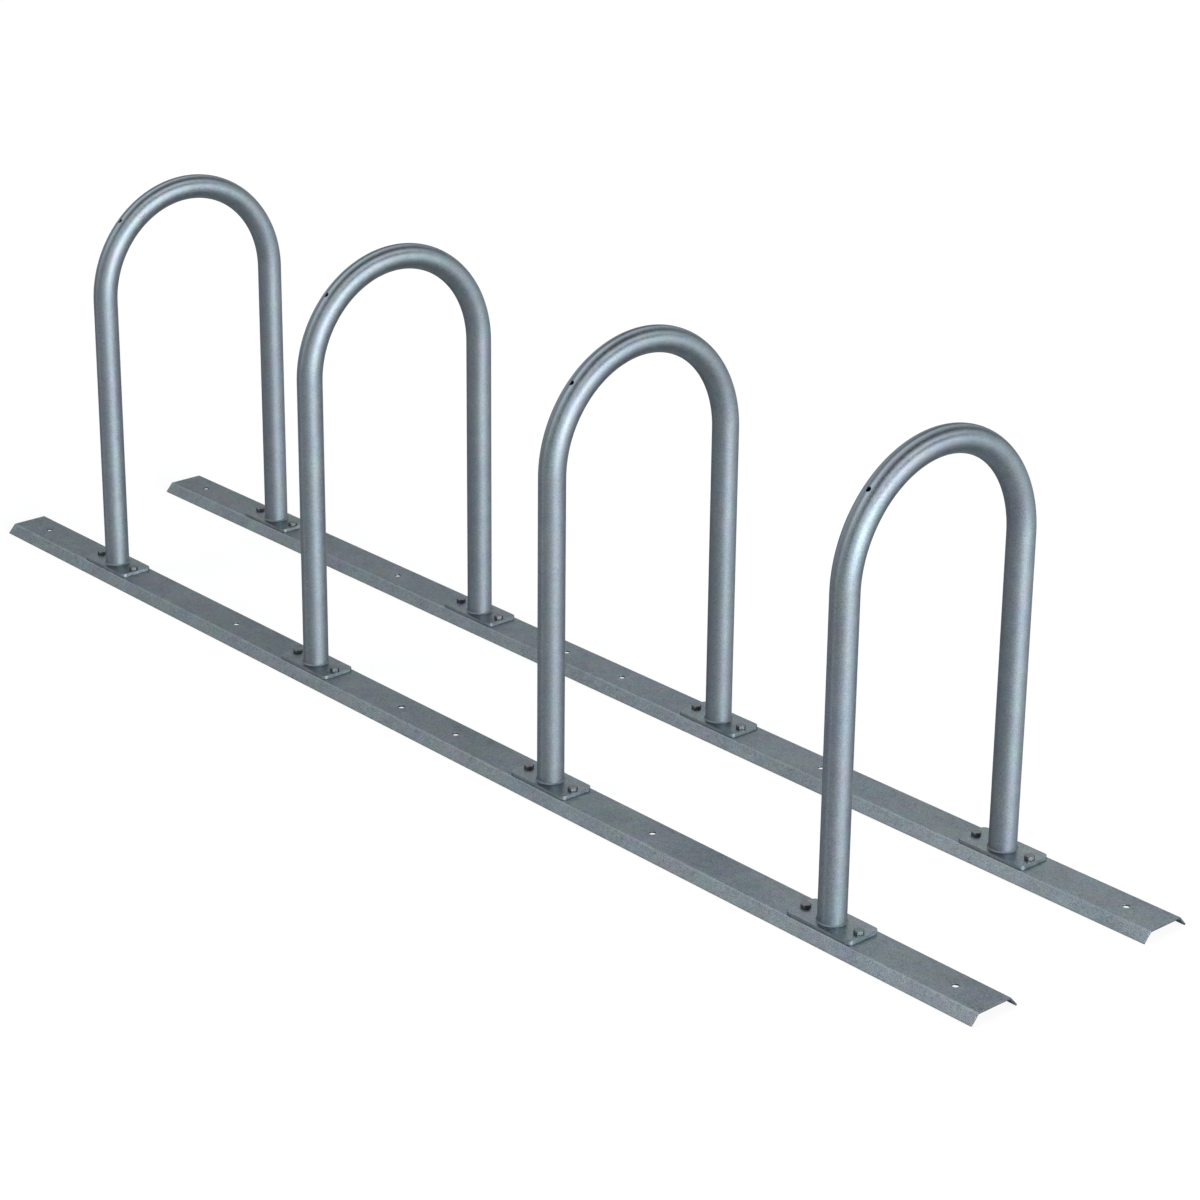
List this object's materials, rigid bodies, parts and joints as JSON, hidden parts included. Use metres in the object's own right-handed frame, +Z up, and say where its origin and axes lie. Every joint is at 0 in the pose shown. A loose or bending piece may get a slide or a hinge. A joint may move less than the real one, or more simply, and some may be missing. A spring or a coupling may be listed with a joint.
{
  "type": "bike rack",
  "caption": "Free-standing bike rack: a row of upright inverted-U tube hoops on foot plates, bolted across parallel folded sheet steel rails with ground anchor holes.",
  "frame": {"origin": "on the ground, in the middle of the rack", "axes": "+X along the rails, +Y from the front rail to the rear rail, +Z up"},
  "size_m": [2.76, 0.5124, 0.8155],
  "materials": {
    "tube": "hot-dip galvanised, fine spangle, satin",
    "rail": "hot-dip galvanised, dull grey",
    "plate": "hot-dip galvanised, dull grey",
    "weld": "hot-dip galvanised weld bead, satin",
    "fastener": "zinc coated, satin"
  },
  "bodies": {
    "root": {"rail_front": "rail", "rail_rear": "rail", "hoop_1": "tube", "hoop_2": "tube", "hoop_3": "tube", "hoop_4": "tube", "foot_plate_front_1": "plate", "foot_plate_front_2": "plate", "foot_plate_front_3": "plate", "foot_plate_front_4": "plate", "foot_plate_rear_1": "plate", "foot_plate_rear_2": "plate", "foot_plate_rear_3": "plate", "foot_plate_rear_4": "plate", "weld_front_1": "weld", "weld_front_2": "weld", "weld_front_3": "weld", "weld_front_4": "weld", "weld_rear_1": "weld", "weld_rear_2": "weld", "weld_rear_3": "weld", "weld_rear_4": "weld", "bolt_front_1_left": "fastener", "bolt_front_1_right": "fastener", "bolt_front_2_left": "fastener", "bolt_front_2_right": "fastener", "bolt_front_3_left": "fastener", "bolt_front_3_right": "fastener", "bolt_front_4_left": "fastener", "bolt_front_4_right": "fastener", "bolt_rear_1_left": "fastener", "bolt_rear_1_right": "fastener", "bolt_rear_2_left": "fastener", "bolt_rear_2_right": "fastener", "bolt_rear_3_left": "fastener", "bolt_rear_3_right": "fastener", "bolt_rear_4_left": "fastener", "bolt_rear_4_right": "fastener", "nut_front_1_left": "fastener", "nut_front_1_right": "fastener", "nut_front_2_left": "fastener", "nut_front_2_right": "fastener", "nut_front_3_left": "fastener", "nut_front_3_right": "fastener", "nut_front_4_left": "fastener", "nut_front_4_right": "fastener", "nut_rear_1_left": "fastener", "nut_rear_1_right": "fastener", "nut_rear_2_left": "fastener", "nut_rear_2_right": "fastener", "nut_rear_3_left": "fastener", "nut_rear_3_right": "fastener", "nut_rear_4_left": "fastener", "nut_rear_4_right": "fastener"}
  },
  "joints": []
}
